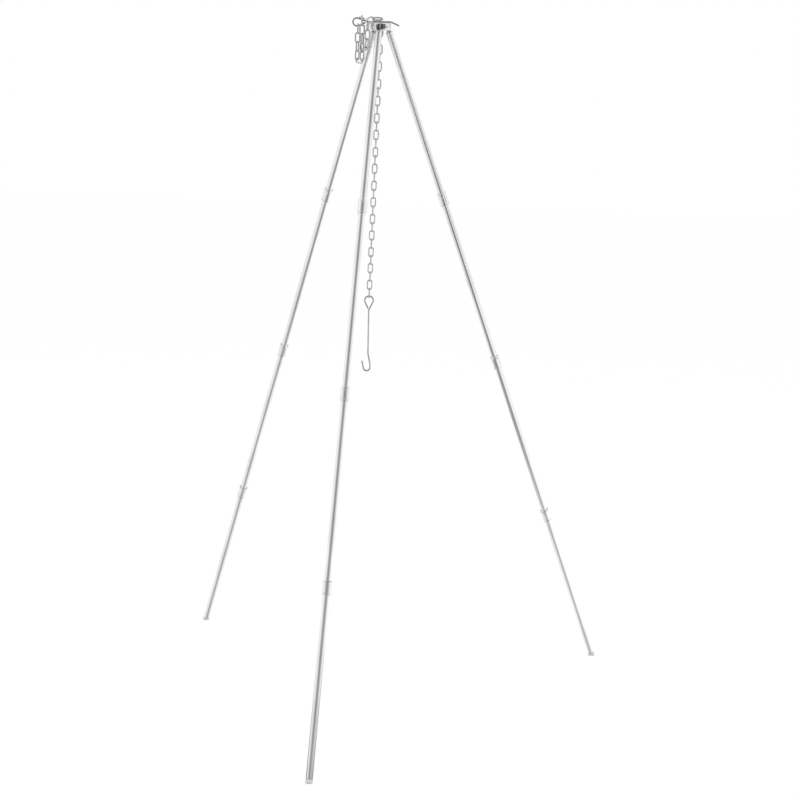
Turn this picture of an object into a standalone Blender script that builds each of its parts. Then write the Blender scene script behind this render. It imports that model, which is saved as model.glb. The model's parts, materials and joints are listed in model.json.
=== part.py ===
# Cooking tripod: three take-apart legs on a small hub, with a hanging chain, hook and locking pin
import math

import bmesh
import bpy
from mathutils import Matrix, Vector

# Stance
leg_length = 1.25
leg_tilt = math.radians(20.45)
leg_turns = {"front": -90.0, "right": 30.0, "left": 150.0}
hub_underside = leg_length * math.cos(leg_tilt)

# Hub
hub_radius = 0.0175
hub_height = 0.0125
hub_bore = 0.0065
hub_edge = 0.002
slot_width = 0.0046
slot_inner = 0.0083
slot_top = 0.0101
pivot_height = 0.006
pivot_pin_radius = 0.0015
pivot_pin_length = 0.0235
leg_radius = 0.0117 + pivot_height * math.tan(leg_tilt)
pivot_rise = pivot_height / math.cos(leg_tilt)

# Legs
tube_radius = 0.00575
tube_bore = 0.00485
tube_top = 0.0036
tube_end = 1.2440
joint_marks = (0.3072, 0.6240, 0.9411)
joint_gap = 0.0003
sleeve_length = 0.024
sleeve_bore = 0.00605
tongue_thickness = 0.004
tongue_radius = 0.0034
cord_radius = 0.0014
section_travel = 0.030

# Chain, hook and locking pin
wire_radius = 0.0014
chain_wire = 0.0025
link_length = 0.0192
link_width = 0.0102
link_gap = 0.0004
link_bite = 0.00045
hanging_count = 33
top_count = 4
group_size = 4
group_count = 7
hang_lean = math.radians(1.555)
pin_turn = 15.0
rod_height = hub_underside + hub_height + wire_radius + 0.0003
link_half = (link_length - chain_wire) / 2
link_round = (link_width - chain_wire) / 2
loose = chain_wire + link_gap
joined = chain_wire - link_bite
link_step = 2 * link_half - joined
seat = wire_radius + chain_wire / 2 + 0.0003

# Where the spare chain lies on the locking pin: how far out it crosses the eye's upper wire, and
# how far towards the neck it hangs on the lower wire
over_eye_reach = 0.0328
eye_slide = 0.0019

# Locking pin's outline, in its own upright plane
pin_neck = Vector((-0.0220, 0.0, 0.0))
pin_eye = Vector((-0.0406, 0.0, -0.0008))
pin_eye_radius = 0.0066
pin_bend = Vector((0.0174, 0.0, 0.0))
pin_tip = Vector((0.0314, 0.0, -0.0062))


def clear_scene():
    for old in list(bpy.data.objects):
        bpy.data.objects.remove(old, do_unlink=True)
    for old in list(bpy.data.collections):
        bpy.data.collections.remove(old)


def new_collection(name):
    made = bpy.data.collections.new(name)
    bpy.context.scene.collection.children.link(made)
    return made


def finish(name, colour, metallic, roughness):
    made = bpy.data.materials.new(name)
    made.use_nodes = True
    shader = made.node_tree.nodes["Principled BSDF"]
    shader.inputs["Base Color"].default_value = (*colour, 1.0)
    shader.inputs["Metallic"].default_value = metallic
    shader.inputs["Roughness"].default_value = roughness
    made.diffuse_color = (*colour, 1.0)
    return made


clear_scene()
parts = new_collection("cooking_tripod")
cutters = new_collection("cutters")

polished = ((0.83, 0.84, 0.85), 1.0, 0.16)
drawn_metal = ((0.78, 0.79, 0.80), 1.0, 0.24)
steel = ((0.66, 0.67, 0.68), 1.0, 0.22)
plastic = ((0.60, 0.61, 0.62), 0.0, 0.45)
elastic = ((0.03, 0.03, 0.035), 0.0, 0.8)


def put(made, frame, look):
    parts.objects.link(made)
    made.matrix_world = frame
    made.data.materials.append(finish(made.name, *look))
    return made


def put_cutter(made, frame):
    cutters.objects.link(made)
    made.matrix_world = frame
    made.hide_render = True
    made.display_type = "WIRE"
    return made


# A turned solid: the outline is (radius, distance down the axis), run down the outer side
def turned(name, outline, steps, ring):
    mesh = bpy.data.meshes.new(name)
    points = [(radius, 0.0, -drop) for radius, drop in outline]
    edges = [(i, i + 1) for i in range(len(points) - 1)]
    if ring:
        edges.append((len(points) - 1, 0))
    mesh.from_pydata(points, edges, [])
    made = bpy.data.objects.new(name, mesh)
    spin = made.modifiers.new("turn", "SCREW")
    spin.steps = steps
    spin.render_steps = steps
    spin.use_merge_vertices = True
    spin.merge_threshold = 0.00005
    return made


def cut(made, other, how):
    step = made.modifiers.new(how.lower(), "BOOLEAN")
    step.operation = how
    step.solver = "EXACT"
    step.object = other


# Wires: one curve object, one spline for each bent wire, closed for a chain link
def wires(name, runs, radius, rings, closed):
    curve = bpy.data.curves.new(name, "CURVE")
    curve.dimensions = "3D"
    curve.bevel_depth = radius
    curve.bevel_resolution = rings
    curve.use_fill_caps = True
    for run in runs:
        spline = curve.splines.new("POLY")
        spline.points.add(len(run) - 1)
        for point, place in zip(spline.points, run):
            point.co = (*place, 1.0)
        spline.use_cyclic_u = closed
    return bpy.data.objects.new(name, curve)


# The shape an object has once its modifiers have run, as a mesh of its own
def final_mesh(made):
    bpy.context.view_layer.update()
    depsgraph = bpy.context.evaluated_depsgraph_get()
    return bpy.data.meshes.new_from_object(made.evaluated_get(depsgraph))


# A curve made a mesh, so that a Boolean can work on it
def meshed(made):
    cutters.objects.link(made)
    mesh = final_mesh(made)
    name = made.name
    bpy.data.objects.remove(made, do_unlink=True)
    mesh.name = name
    return bpy.data.objects.new(name, mesh)


# A flat outline drawn as a curve and thickened to both sides, then made a mesh
def plate(name, outlines, thickness):
    curve = bpy.data.curves.new(name, "CURVE")
    curve.dimensions = "2D"
    curve.fill_mode = "BOTH"
    curve.extrude = thickness / 2
    for outline in outlines:
        spline = curve.splines.new("POLY")
        spline.points.add(len(outline) - 1)
        for point, place in zip(spline.points, outline):
            point.co = (place[0], place[1], 0.0, 1.0)
        spline.use_cyclic_u = True
    made = meshed(bpy.data.objects.new(name, curve))
    shape = bmesh.new()
    shape.from_mesh(made.data)
    bmesh.ops.remove_doubles(shape, verts=shape.verts, dist=0.00001)
    bmesh.ops.recalc_face_normals(shape, faces=shape.faces)
    shape.to_mesh(made.data)
    shape.free()
    return made


def box(name, size, centre):
    mesh = bpy.data.meshes.new(name)
    shape = bmesh.new()
    bmesh.ops.create_cube(shape, size=1.0)
    bmesh.ops.scale(shape, vec=size, verts=shape.verts)
    bmesh.ops.translate(shape, vec=centre, verts=shape.verts)
    shape.to_mesh(mesh)
    shape.free()
    return bpy.data.objects.new(name, mesh)


def round_bars(name, radius, length, segments, places):
    mesh = bpy.data.meshes.new(name)
    shape = bmesh.new()
    for place in places:
        bmesh.ops.create_cone(
            shape,
            cap_ends=True,
            segments=segments,
            radius1=radius,
            radius2=radius,
            depth=length,
            matrix=place,
        )
    shape.to_mesh(mesh)
    shape.free()
    return bpy.data.objects.new(name, mesh)


def arc(centre, radius, first, last, count):
    points = []
    for i in range(count):
        angle = math.radians(first + (last - first) * i / (count - 1))
        points.append((centre[0] + radius * math.cos(angle), centre[1] + radius * math.sin(angle)))
    return points


# Hub: a turned disc with a bore for the chain and three slots for the leg tongues
def hub_frame(turn, radius, height):
    return Matrix.Rotation(math.radians(turn), 4, "Z") @ Matrix.Translation((radius, 0.0, height))


hub_outline = [
    (hub_bore, 0.0006),
    (hub_bore + 0.0006, 0.0),
    (hub_radius - hub_edge, 0.0),
    (hub_radius - hub_edge * 0.29, hub_edge * 0.29),
    (hub_radius, hub_edge),
    (hub_radius, hub_height - hub_edge),
    (hub_radius - hub_edge * 0.29, hub_height - hub_edge * 0.29),
    (hub_radius - hub_edge, hub_height),
    (hub_bore + 0.0006, hub_height),
    (hub_bore, hub_height - 0.0006),
]
hub = turned("hub_body", hub_outline, 36, True)
put(hub, Matrix.Translation((0.0, 0.0, hub_underside + hub_height)), polished)

slot_length = hub_radius + 0.004 - slot_inner
slot_depth = slot_top + 0.003
slots = bpy.data.meshes.new("hub_slots")
shape = bmesh.new()
for turn in leg_turns.values():
    made = bmesh.ops.create_cube(shape, size=1.0)["verts"]
    bmesh.ops.scale(shape, vec=(slot_length, slot_width, slot_depth), verts=made)
    move = hub_frame(turn, slot_inner + slot_length / 2, slot_top - slot_depth / 2)
    bmesh.ops.transform(shape, matrix=move, verts=made)
shape.to_mesh(slots)
shape.free()
hub_slots = bpy.data.objects.new("hub_slots", slots)
put_cutter(hub_slots, Matrix.Translation((0.0, 0.0, hub_underside)))
cut(hub, hub_slots, "DIFFERENCE")

# Each cross pin lies across its slot, in a hole drilled from one side of the hub, and its outer
# end is filed flush with the hub's rim
across = Matrix.Rotation(math.radians(90), 4, "X")
pin_inner_end = -0.0100
pin_shift = Matrix.Translation((0.0, pin_inner_end + pivot_pin_length / 2, 0.0))
hole_length = 0.0260
hole_shift = Matrix.Translation((0.0, pin_inner_end - 0.0003 + hole_length / 2, 0.0))
rim_centre = Matrix.Translation((0.0, 0.0, hub_height / 2))
rim = round_bars("hub_rim", hub_radius - 0.0001, 2 * hub_height, 36, [rim_centre])
put_cutter(rim, Matrix.Translation((0.0, 0.0, hub_underside)))
hole_places = []
for side, turn in leg_turns.items():
    centre = hub_frame(turn, 0.0117, pivot_height)
    hole_places.append(centre @ hole_shift @ across)
    name = "leg_%s_pivot_pin" % side
    pivot = round_bars(name, pivot_pin_radius, pivot_pin_length, 16, [pin_shift @ across])
    put(pivot, Matrix.Translation((0.0, 0.0, hub_underside)) @ centre, steel)
    cut(pivot, rim, "INTERSECT")
holes = round_bars("hub_pin_holes", pivot_pin_radius + 0.0003, hole_length, 16, hole_places)
put_cutter(holes, Matrix.Translation((0.0, 0.0, hub_underside)))
cut(hub, holes, "DIFFERENCE")


# Legs: in a leg's own frame the axis runs down local -Z, and local X points out from the hub
def leg_frame(turn):
    lean = Matrix.Rotation(-leg_tilt, 4, "Y")
    start = Matrix.Translation((leg_radius, 0.0, hub_underside))
    return Matrix.Rotation(math.radians(turn), 4, "Z") @ start @ lean


def down(distance):
    return Matrix.Translation((0.0, 0.0, -distance))


def tube_outline(top, end):
    return [(tube_radius, top), (tube_radius, end), (tube_bore, end), (tube_bore, top)]


# A sleeve has a lipped mouth for the section above and a small shoulder at its lower end
def sleeve_outline():
    half = sleeve_length / 2
    return [
        (0.00790, -half),
        (0.00790, -half + 0.0012),
        (0.00740, -half + 0.0020),
        (0.00765, -half + 0.0032),
        (0.00765, half - 0.0026),
        (0.00785, half - 0.0020),
        (0.00785, half),
        (sleeve_bore, half),
        (sleeve_bore, -half + 0.0010),
        (0.00680, -half),
    ]


top_plug_outline = [
    (0.0, -0.0015),
    (0.00515, -0.0015),
    (0.00575, -0.0009),
    (0.00575, -0.0003),
    (0.00455, -0.0003),
    (0.00455, 0.0120),
    (0.0017, 0.0120),
    (0.0017, 0.0050),
    (0.0, 0.0050),
]
foot_plug_outline = [
    (0.0, -0.0100),
    (0.0017, -0.0100),
    (0.0017, -0.0160),
    (0.00455, -0.0160),
    (0.00455, 0.0003),
    (0.00575, 0.0003),
    (0.00600, 0.0007),
    (0.00600, 0.0048),
    (0.00550, 0.0070),
    (0.00400, 0.0085),
    (0.0, 0.0092),
]


# The tongue's outline stands up from inside the flange and is rounded about the cross pin
def tongue_outline(foot):
    outside = arc((0.0, 0.0), tongue_radius, 0.0, 180.0, 13)
    return outside + [(-tongue_radius, foot), (tongue_radius, foot)]


def build_leg(side, turn):
    frame = leg_frame(turn)
    tops = [tube_top] + [mark + joint_gap for mark in joint_marks]
    ends = [mark - joint_gap for mark in joint_marks] + [tube_end]
    origins = [-pivot_rise] + list(joint_marks)
    for number in range(4):
        origin = origins[number]
        place = frame @ down(origin)
        label = "leg_%s_tube_%d" % (side, number + 1)
        outline = tube_outline(tops[number] - origin, ends[number] - origin)
        put(turned(label, outline, 16, True), place, drawn_metal)
        if number > 0:
            label = "leg_%s_sleeve_%d" % (side, number)
            put(turned(label, sleeve_outline(), 16, True), place, polished)
        # The cord reaches through the joint below, so that it still does when that joint is pulled open
        start = tube_top + 0.0053 if number == 0 else joint_marks[number - 1] + section_travel + 0.0105
        stop = joint_marks[number] + section_travel + 0.0100 if number < 3 else tube_end - 0.0103
        label = "leg_%s_cord_%d" % (side, number + 1)
        run = [(0.0, 0.0, origin - start), (0.0, 0.0, origin - stop)]
        put(meshed(wires(label, [run], cord_radius, 1, False)), place, elastic)
    # The top plug turns on the cross pin: a spigot and flange with a flat tongue joined to it
    place = frame @ down(-pivot_rise)
    shift = tube_top + pivot_rise
    outline = [(radius, drop + shift) for radius, drop in top_plug_outline]
    plug = turned("leg_%s_top_plug" % side, outline, 16, False)
    put(plug, place, steel)
    upright = Matrix.Rotation(math.radians(90), 4, "X")
    hole = list(reversed(arc((0.0, 0.0), pivot_pin_radius + 0.0003, 0.0, 337.5, 16)))
    tongue = plate("leg_%s_tongue" % side, [tongue_outline(0.0010 - shift), hole], tongue_thickness)
    put_cutter(tongue, place @ upright)
    cut(plug, tongue, "UNION")
    # The foot plug closes the bottom tube and is cut flat where it stands
    place = frame @ down(tube_end)
    foot = turned("leg_%s_foot_plug" % side, foot_plug_outline, 16, False)
    put(foot, place, plastic)
    cut(foot, ground, "DIFFERENCE")


ground = box("ground", (1.2, 1.2, 0.05), (0.0, 0.0, -0.025))
put_cutter(ground, Matrix.Identity(4))
for side, turn in leg_turns.items():
    build_leg(side, turn)


# Chain links: each has a centre, a long axis and the direction of its end wires
class Link:
    def __init__(self, centre, along, across):
        self.centre = Vector(centre)
        self.along = Vector(along).normalized()
        across = Vector(across)
        self.across = (across - self.along * across.dot(self.along)).normalized()
        self.end = self.centre + self.along * link_half
        self.start = self.centre - self.along * link_half

    def points(self):
        run = []
        straight = link_half - link_round
        for side in (1, -1):
            for i in range(5):
                angle = math.radians(-90 + 45 * i)
                reach = straight + link_round * math.cos(angle)
                aside = link_round * math.sin(angle)
                run.append(self.centre + (self.along * reach + self.across * aside) * side)
        return run


# The next link hooks through this one's end, a quarter turn on, or a little more with a twist.
# The distance between the two wires' centres is "loose" at a working joint, and "joined" where
# links are held as one piece.
def follow(link, along, contact, twist=0.0):
    along = Vector(along).normalized()
    bend = link.along.rotation_difference(along)
    across = bend @ link.along.cross(link.across)
    across = Matrix.Rotation(math.radians(twist), 3, along) @ across
    reach = link.across.cross(across).normalized()
    if reach.dot(link.along + along) < 0:
        reach = -reach
    return Link(link.end - reach * contact + along * link_half, along, across)


# A straight run between two end wires; the quarter turns take up what is left as a small twist
def straight_run(top, bottom, count, first, last):
    along = (bottom - top).normalized()
    step = ((bottom - top).length - 2 * link_half) / (count - 1)
    twist = ((last - first - 90 * (count - 1) + 90) % 180 - 90) / (count - 1)
    run = []
    for i in range(count):
        angle = math.radians(first + i * (90 + twist))
        centre = top + along * (link_half + step * i)
        run.append(Link(centre, along, (math.cos(angle), math.sin(angle), 0.0)))
    return run


# Lower ends of two runs that hang side by side and lean in to a bottom link
def lower_ends(first, second, first_count, second_count, span):
    gap = Vector((second.x - first.x, second.y - first.y, 0.0))
    lean = (gap.length - span) / 2
    gap.normalize()
    ends = []
    for top, count, way in ((first, first_count, 1), (second, second_count, -1)):
        reach = 2 * link_half + (count - 1) * link_step
        low = top + gap * lean * way
        low.z -= math.sqrt(reach * reach - lean * lean)
        ends.append(low)
    middle = (ends[0] + ends[1]) / 2
    half = (ends[1] - ends[0]).normalized() * span / 2
    return middle - half, middle + half


def heading(vector):
    return math.degrees(math.atan2(vector.y, vector.x))


# Hanging chain, in the locking pin's frame: X along the rod, Z up from the rod's axis
first_top = seat + loose + 0.0002
straight_down = (0.0, 0.0, -1.0)
lean_way = (-math.sin(hang_lean), 0.0, -math.cos(hang_lean))
hanging = [Link((0.0, 0.0, first_top - link_half), straight_down, (0.0, 1.0, 0.0))]
hanging.append(follow(hanging[0], straight_down, joined))
while len(hanging) < hanging_count:
    new_group = len(hanging) % group_size == 0 and len(hanging) < hanging_count - 1
    hanging.append(follow(hanging[-1], lean_way, loose if new_group else joined))

# Spare end: over the rod, down beside the hub, up over the pin's eye, down and up to the eye
side_lean = math.radians(62)
leaning = Vector((0.0, -math.sin(side_lean), math.cos(side_lean)))
over_rod_spot = Vector((loose - link_half, 0.0, seat + 0.00005)) + leaning * link_round
over_rod = Link(over_rod_spot, (-1.0, 0.0, 0.0), leaning)
beside = follow(over_rod, (-0.83, -0.66, -0.41), joined, -6.0)
inner_first = follow(beside, straight_down, loose, -8.0)

# One link lies flat across the upper wire of the pin's eye
eye_reach = (pin_eye - pin_neck).length
eye_slope = math.asin(pin_eye_radius / eye_reach) + math.atan2(pin_eye.z, pin_neck.x - pin_eye.x)
eye_way = Vector((-math.cos(eye_slope), 0.0, math.sin(eye_slope)))
eye_up = Vector((math.sin(eye_slope), 0.0, math.cos(eye_slope)))
over_spot = pin_neck + eye_way * ((over_eye_reach + pin_neck.x) / math.cos(eye_slope))
over_eye = Link(over_spot + eye_up * seat, (0.0, 1.0, 0.0), eye_way)
hang_lift = Vector((0.0, 0.0, (loose + 0.00005) / math.cos(eye_slope)))
back_top = over_eye.end + hang_lift
front_top = over_eye.start + hang_lift
eye_drop = math.sqrt(pin_eye_radius ** 2 - eye_slide ** 2)
eye_top = Vector((pin_eye.x + eye_slide, 0.0, pin_eye.z - eye_drop + seat + 0.0003))

# Outer loop: down from the eye, a bottom link on edge, and up to the flat link's front end
on_edge_span = 2 * (link_half - joined)
eye_low, front_low = lower_ends(eye_top, front_top, 4, 5, on_edge_span)
turn_low = heading(front_low - eye_low) + 90
outer_way = (front_low - eye_low).normalized()
level = Vector((outer_way.y, -outer_way.x, 0.0))
outer_loop = straight_run(eye_top, eye_low, 4, 90.0, turn_low)
outer_loop.append(Link((eye_low + front_low) / 2, outer_way, outer_way.cross(level)))
outer_loop += reversed(straight_run(front_top, front_low, 5, 90.0, turn_low))

# Inner loop: down from the flat link's back end, a flat bottom link, and up beside the hub
inner_top = inner_first.start
back_low, inner_low = lower_ends(back_top, inner_top, 4, 3, 2 * link_half)
turn_low = heading(inner_low - back_low)
inner_way = (inner_low - back_low).normalized()
inner_middle = (back_low + inner_low) / 2 + Vector((0.0, 0.0, joined))
inner_loop = straight_run(back_top, back_low, 4, 90.0, turn_low)
inner_loop.append(Link(inner_middle, inner_way, (-inner_way.y, inner_way.x, 0.0)))
inner_loop += reversed(straight_run(inner_top, inner_low, 3, heading(inner_first.across), turn_low))

pin_frame = Matrix.Translation((0.0, 0.0, rod_height)) @ Matrix.Rotation(math.radians(pin_turn), 4, "Z")


# Links of one stretch: every second link is one mesh, and the links between are joined to it
def chain_part(name, links, origin):
    runs = [[point - origin for point in link.points()] for link in links]
    frame = pin_frame @ Matrix.Translation(origin)
    made = meshed(wires(name, runs[0::2], chain_wire / 2, 1, True))
    put(made, frame, steel)
    if len(runs) > 1:
        between = meshed(wires(name + "_between", runs[1::2], chain_wire / 2, 1, True))
        put_cutter(between, frame)
        cut(made, between, "UNION")


chain_part("chain_top_links", hanging[:top_count], Vector((0.0, 0.0, 0.0)))
for group in range(group_count):
    begin = top_count + group * group_size
    stop = hanging_count if group == group_count - 1 else begin + group_size
    joint = hanging[begin - 1].end if group % 2 == 0 else hanging[begin].start
    chain_part("chain_links_%d" % (group + 1), hanging[begin:stop], joint)
chain_part("spare_chain_over_rod", [over_rod, beside], Vector((0.0, 0.0, 0.0)))
chain_part("spare_chain_over_eye", [over_eye], Vector((0.0, 0.0, 0.0)))
chain_part("spare_chain_outer_loop", outer_loop, (eye_top + front_top) / 2)
chain_part("spare_chain_inner_loop", inner_loop, (back_top + inner_top) / 2)


# A closed teardrop eye: round the far side and back to the neck, ending short of the shank
def eye_points(neck, centre, radius, ending):
    gap = centre - neck
    half = math.degrees(math.asin(radius / gap.length))
    base = math.degrees(math.atan2(gap.z, gap.x))
    first = base - 90 - half
    last = base + 90 + half
    points = []
    for x, z in arc((centre.x, centre.z), radius, first, last, 15):
        points.append(Vector((x, 0.0, z)))
    closing = neck + (points[-1] - neck) * ending
    return points + [closing]


steps = eye_points(pin_neck, pin_eye, pin_eye_radius, 0.25)
pin_run = list(reversed(steps)) + [pin_neck]
pin_run += [pin_bend - Vector((0.0015, 0.0, 0.0)), pin_bend + Vector((0.0013, 0.0, -0.0004)), pin_tip]
pin = meshed(wires("locking_pin", [pin_run], wire_radius, 2, False))
put(pin, pin_frame, steel)

# Hook: an eye, a long shank with a joggle, and an upturned J
last_link = hanging[-1]
hook_top = last_link.end + Vector((0.0, 0.0, seat))
hook_eye_radius = 0.0076
hook_neck = Vector((-0.0003, 0.0, -0.0252))
hook_eye = Vector((0.0, 0.0, -hook_eye_radius))
steps = eye_points(hook_neck, hook_eye, hook_eye_radius, 0.22)
hook_run = list(reversed(steps)) + [hook_neck]
hook_run += [Vector((-0.0004, 0.0, -0.1010)), Vector((-0.0002, 0.0, -0.1040))]
hook_run += [Vector((0.0023, 0.0, -0.1160)), Vector((0.0032, 0.0, -0.1205))]
for x, z in arc((-0.0024, -0.1280), 0.0058, 0.0, -166.7, 11):
    hook_run.append(Vector((x, 0.0, z)))
hook_run.append(Vector((-0.0112, 0.0, -0.1160)))
hook = meshed(wires("hook", [hook_run], wire_radius, 2, False))
put(hook, pin_frame @ Matrix.Translation(hook_top), steel)


# Every piece keeps its final mesh, with round faces shaded smooth and true edges left sharp
final = [(made, final_mesh(made)) for made in parts.objects]
for made, mesh in final:
    made.modifiers.clear()
    made.data = mesh
    mesh.name = made.name
    mesh.shade_smooth()
    mesh.set_sharp_from_angle(angle=math.radians(40))

# Stand the whole object over the middle of its own footprint
bpy.context.view_layer.update()
corners = [made.matrix_world @ vertex.co for made in parts.objects for vertex in made.data.vertices]
low = Vector([min(corner[i] for corner in corners) for i in range(3)])
high = Vector([max(corner[i] for corner in corners) for i in range(3)])
shift = Matrix.Translation((-(low.x + high.x) / 2, -(low.y + high.y) / 2, -low.z))
for made in list(parts.objects) + list(cutters.objects):
    made.matrix_world = shift @ made.matrix_world
bpy.context.view_layer.update()
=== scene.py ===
# Cooking tripod: fine metal pieces, finishes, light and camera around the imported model
import json
import math

import bmesh
import bpy
from mathutils import Matrix, Vector


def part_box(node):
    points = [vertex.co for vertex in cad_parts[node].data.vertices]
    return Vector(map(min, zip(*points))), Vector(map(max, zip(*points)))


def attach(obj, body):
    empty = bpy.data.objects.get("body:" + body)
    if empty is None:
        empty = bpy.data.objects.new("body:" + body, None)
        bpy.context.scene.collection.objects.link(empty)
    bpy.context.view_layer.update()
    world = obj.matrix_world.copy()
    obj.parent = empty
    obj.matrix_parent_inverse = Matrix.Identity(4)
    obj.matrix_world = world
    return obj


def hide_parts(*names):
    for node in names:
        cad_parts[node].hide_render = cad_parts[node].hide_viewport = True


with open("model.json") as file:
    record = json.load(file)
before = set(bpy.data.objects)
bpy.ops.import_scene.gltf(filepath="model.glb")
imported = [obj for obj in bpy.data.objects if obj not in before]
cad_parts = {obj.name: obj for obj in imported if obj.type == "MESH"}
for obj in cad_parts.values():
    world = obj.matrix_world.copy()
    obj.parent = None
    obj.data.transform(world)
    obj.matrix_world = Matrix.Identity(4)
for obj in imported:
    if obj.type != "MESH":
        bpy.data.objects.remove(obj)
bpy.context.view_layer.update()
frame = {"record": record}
scene = bpy.context.scene
bodies = frame["record"]["behaviour"]["bodies"]
bodyOf = {node: body for body, members in bodies.items() for node in members}
print("frame loaded")

# Every leg, the locking pin and the chain are placed from the lower end of the hub's bore
hubLow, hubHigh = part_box("hub_body")
hubAxis = Vector(((hubLow.x + hubHigh.x) / 2, (hubLow.y + hubHigh.y) / 2, hubLow.z))
standing = Matrix.Translation(hubAxis)


# Materials
def newMaterial(name, settings):
    made = bpy.data.materials.new(name)
    made.use_nodes = True
    tree = made.node_tree
    shader = tree.nodes["Principled BSDF"]
    shader.inputs["Metallic"].default_value = settings["metallic"]
    coords = tree.nodes.new("ShaderNodeTexCoord")
    return made, tree, shader, coords


# Links another node's output to a socket, or sets a plain value on it
def feed(tree, socket, value):
    if isinstance(value, bpy.types.NodeSocket):
        tree.links.new(value, socket)
    else:
        socket.default_value = value


# A noise whose scale, detail and stretch are the settings of the given kind
def noise(tree, source, settings, kind):
    place = tree.nodes.new("ShaderNodeMapping")
    place.inputs["Scale"].default_value = settings.get(kind + "Stretch", (1.0, 1.0, 1.0))
    grain = tree.nodes.new("ShaderNodeTexNoise")
    grain.inputs["Scale"].default_value = settings[kind + "Scale"]
    grain.inputs["Detail"].default_value = settings[kind + "Detail"]
    tree.links.new(source, place.inputs["Vector"])
    tree.links.new(place.outputs["Vector"], grain.inputs["Vector"])
    return grain.outputs["Fac"]


# Turns the span of the source's values into the span of the result
def ramp(tree, source, span, result):
    made = tree.nodes.new("ShaderNodeMapRange")
    for name, value in zip(("From Min", "From Max", "To Min", "To Max"), (*span, *result)):
        made.inputs[name].default_value = value
    tree.links.new(source, made.inputs["Value"])
    return made.outputs["Result"]


# The first colour where the factor is 0, the second where it is 1
def colourMix(tree, factor, first, second):
    made = tree.nodes.new("ShaderNodeMix")
    made.data_type = "RGBA"
    for name, colour in (("A", first), ("B", second)):
        feed(tree, made.inputs[name], (*colour, 1.0) if isinstance(colour, tuple) else colour)
    tree.links.new(factor, made.inputs["Factor"])
    return made.outputs["Result"]


def mathNode(tree, kind, first, second):
    made = tree.nodes.new("ShaderNodeMath")
    made.operation = kind
    for socket, value in zip(made.inputs, (first, second)):
        feed(tree, socket, value)
    return made.outputs["Value"]


def axisOf(tree, source, axis):
    made = tree.nodes.new("ShaderNodeSeparateXYZ")
    tree.links.new(source, made.inputs["Vector"])
    return made.outputs[axis]


def addBump(tree, shader, height, settings):
    made = tree.nodes.new("ShaderNodeBump")
    made.inputs["Distance"].default_value = settings["depth"]
    made.inputs["Strength"].default_value = settings["strength"]
    tree.links.new(height, made.inputs["Height"])
    tree.links.new(made.outputs["Normal"], shader.inputs["Normal"])


# Metal with long draw lines: UV runs round the piece in x and along it in y, in metres
drawnFinish = {"metallic": 1.0, "lineDetail": 3.0, "lineSpan": (0.3, 0.7), "cloudDetail": 2.0,
               "cloudSpan": (0.35, 0.65), "strength": 0.35, "grooves": ()}


def drawnMetal(name, own):
    settings = {**drawnFinish, **own}
    made, tree, shader, coords = newMaterial(name, settings)
    lines = noise(tree, coords.outputs["UV"], settings, "line")
    cloud = noise(tree, coords.outputs["Object"], settings, "cloud")
    colour = colourMix(tree, ramp(tree, cloud, settings["cloudSpan"], (0.0, 1.0)), *settings["colours"])
    # Painted shade in the grooves: the colour is darkened near each given height along the piece
    for height in settings["grooves"]:
        away = mathNode(tree, "SUBTRACT", axisOf(tree, coords.outputs["UV"], "Y"), height)
        away = mathNode(tree, "ABSOLUTE", away, 0.0)
        grooveShadeMask = ramp(tree, away, settings["grooveSpan"], (settings["grooveShadeShare"], 0.0))
        colour = colourMix(tree, grooveShadeMask, colour, settings["paintedGrooveShade"])
    tree.links.new(colour, shader.inputs["Base Color"])
    rough = ramp(tree, lines, settings["lineSpan"], settings["roughness"])
    tree.links.new(rough, shader.inputs["Roughness"])
    addBump(tree, shader, lines, settings)
    return made


# Plated or bare steel: faint mottling and tiny pits, in the piece's own space
platedFinish = {"metallic": 1.0, "mottleDetail": 3.0, "mottleSpan": (0.35, 0.65), "pitDetail": 2.0,
                "pitSpan": (0.35, 0.7), "strength": 0.3}


def platedMetal(name, own):
    settings = {**platedFinish, **own}
    made, tree, shader, coords = newMaterial(name, settings)
    mottle = noise(tree, coords.outputs["Object"], settings, "mottle")
    pits = noise(tree, coords.outputs["Object"], settings, "pit")
    colour = colourMix(tree, ramp(tree, mottle, settings["mottleSpan"], (0.0, 1.0)), *settings["colours"])
    # Painted shade: above the given span of heights the colour turns dark, standing in for the shade inside
    # the hub's slot
    if "paintedSlotShade" in settings:
        rise = axisOf(tree, coords.outputs["Object"], "Z")
        slotShadeMask = ramp(tree, rise, settings["slotShadeSpan"], (0.0, 1.0))
        colour = colourMix(tree, slotShadeMask, colour, settings["paintedSlotShade"])
    tree.links.new(colour, shader.inputs["Base Color"])
    rough = ramp(tree, pits, settings["pitSpan"], settings["roughness"])
    tree.links.new(rough, shader.inputs["Roughness"])
    addBump(tree, shader, pits, settings)
    return made


tubeMetal = drawnMetal("tube_drawn_aluminium", {
    "colours": ((0.86, 0.86, 0.86), (0.94, 0.94, 0.94)),
    "roughness": (0.13, 0.2),
    "lineScale": 900.0,
    "lineStretch": (1.0, 0.02, 1.0),
    "cloudScale": 14.0,
    "depth": 0.00002,
})
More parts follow.
